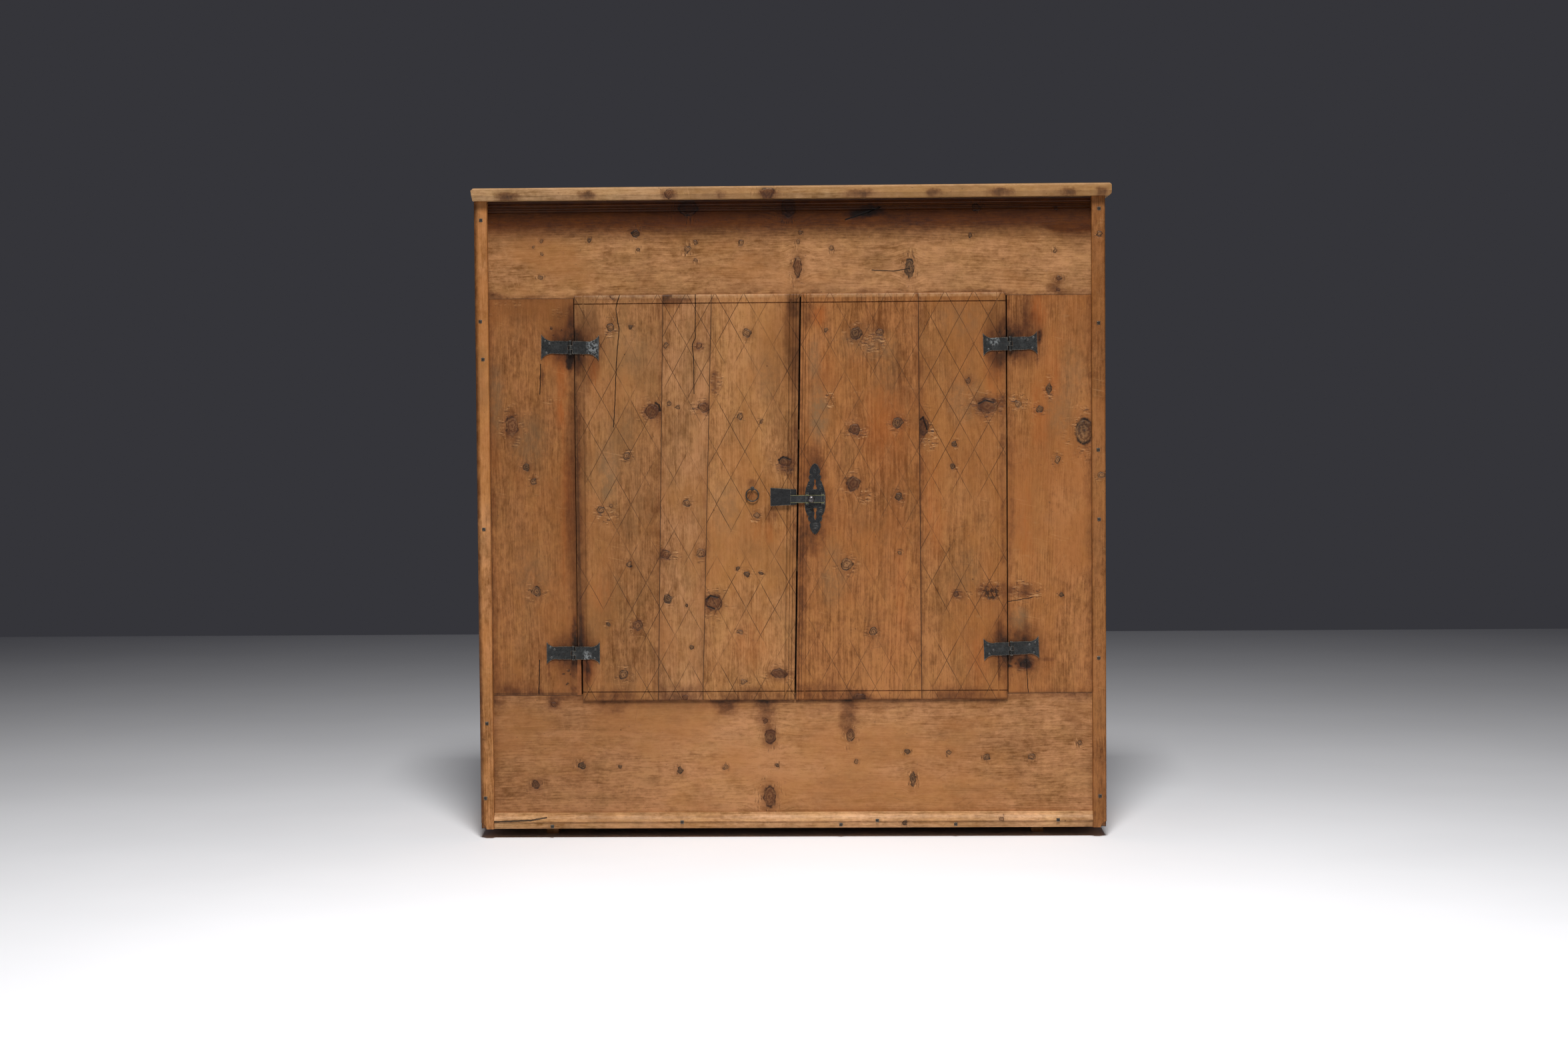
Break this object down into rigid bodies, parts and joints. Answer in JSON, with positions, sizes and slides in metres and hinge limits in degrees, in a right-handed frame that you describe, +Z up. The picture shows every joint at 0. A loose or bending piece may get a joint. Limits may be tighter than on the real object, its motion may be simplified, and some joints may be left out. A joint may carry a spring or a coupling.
{
  "type": "two-door cupboard",
  "caption": "Rustic knotty pine cupboard with two ledged doors on wrought butterfly hinges, shelves inside, a sliding bolt and a ring pull.",
  "frame": {"origin": "middle of the underside of the whole cupboard's box, on the floor", "axes": "+Z up, +X to the right as seen from the front, +Y into the cupboard, so the doors face -Y"},
  "size_m": [1.292, 0.45, 1.325],
  "materials": {
    "top_board_pine": "waxed, worn pale along the upper arris",
    "side_pine": "waxed",
    "frieze_pine": "waxed, honey brown",
    "base_pine": "waxed, honey brown",
    "stile_pine": "waxed, orange brown",
    "strip_pine": "waxed, darker and worn",
    "left_door_pine": "waxed, knotty",
    "right_door_pine": "waxed, knotty, more orange",
    "inner_pine": "bare, dusty",
    "hinge_iron": "forged black, rubbed bright on the wings",
    "bolt_iron": "forged black, hammered",
    "knob_iron": "dark steel, polished by handling",
    "nail_iron": "forged, dull"
  },
  "bodies": {
    "carcase": {"top_front_board": "top_board_pine", "top_rear_board": "top_board_pine", "left_side_front_board": "side_pine", "left_side_rear_board": "side_pine", "right_side_front_board": "side_pine", "right_side_rear_board": "side_pine", "frieze_board": "frieze_pine", "base_board": "base_pine", "left_stile": "stile_pine", "right_stile": "stile_pine", "left_stile_filler": "strip_pine", "left_corner_strip": "strip_pine", "right_corner_strip": "strip_pine", "base_moulding": "strip_pine", "bottom_front_board": "inner_pine", "bottom_rear_board": "inner_pine", "lower_shelf": "inner_pine", "upper_shelf": "inner_pine", "back_board_1": "inner_pine", "back_board_2": "inner_pine", "back_board_3": "inner_pine", "back_board_4": "inner_pine", "left_runner": "inner_pine", "right_runner": "inner_pine", "corner_strip_nails": "nail_iron", "base_moulding_nails": "nail_iron", "back_board_nails": "nail_iron", "hinge_frame_leaf_nails": "nail_iron", "left_upper_hinge_frame_leaf": "hinge_iron", "left_upper_hinge_pin": "hinge_iron", "left_lower_hinge_frame_leaf": "hinge_iron", "left_lower_hinge_pin": "hinge_iron", "right_upper_hinge_frame_leaf": "hinge_iron", "right_upper_hinge_pin": "hinge_iron", "right_lower_hinge_frame_leaf": "hinge_iron", "right_lower_hinge_pin": "hinge_iron"},
    "left_door": {"left_door_hinge_board": "left_door_pine", "left_door_middle_board": "left_door_pine", "left_door_meeting_board": "left_door_pine", "left_door_upper_ledge": "inner_pine", "left_door_lower_ledge": "inner_pine", "left_door_ledge_nails": "nail_iron", "left_hinge_door_leaf_nails": "nail_iron", "left_upper_hinge_door_leaf": "hinge_iron", "left_lower_hinge_door_leaf": "hinge_iron", "ring_eye": "bolt_iron", "bolt_keeper": "bolt_iron"},
    "right_door": {"right_door_meeting_board": "right_door_pine", "right_door_hinge_board": "right_door_pine", "right_door_upper_ledge": "inner_pine", "right_door_lower_ledge": "inner_pine", "right_door_ledge_nails": "nail_iron", "right_hinge_door_leaf_nails": "nail_iron", "right_upper_hinge_door_leaf": "hinge_iron", "right_lower_hinge_door_leaf": "hinge_iron", "bolt_plate": "bolt_iron", "bolt_guides": "bolt_iron"},
    "bolt": {"bolt_bar": "bolt_iron", "bolt_knob": "knob_iron"},
    "ring": {"ring_pull": "knob_iron"}
  },
  "joints": [
    {"name": "left_door_hinge", "type": "hinge", "parent": "carcase", "child": "left_door", "pos_m": [-0.4505, -0.197, 0.692], "axis": [0, 0, -1], "range_deg": [0, 150]},
    {"name": "right_door_hinge", "type": "hinge", "parent": "carcase", "child": "right_door", "pos_m": [0.4425, -0.197, 0.692], "axis": [0, 0, 1], "range_deg": [0, 150]},
    {"name": "bolt_slide", "type": "slide", "parent": "right_door", "child": "bolt", "axis": [1, 0, 0], "range_m": [0, 0.015]},
    {"name": "ring_swing", "type": "hinge", "parent": "left_door", "child": "ring", "pos_m": [-0.08207, -0.2031, 0.7137], "axis": [-1, 0, 0], "range_deg": [0, 150]}
  ]
}
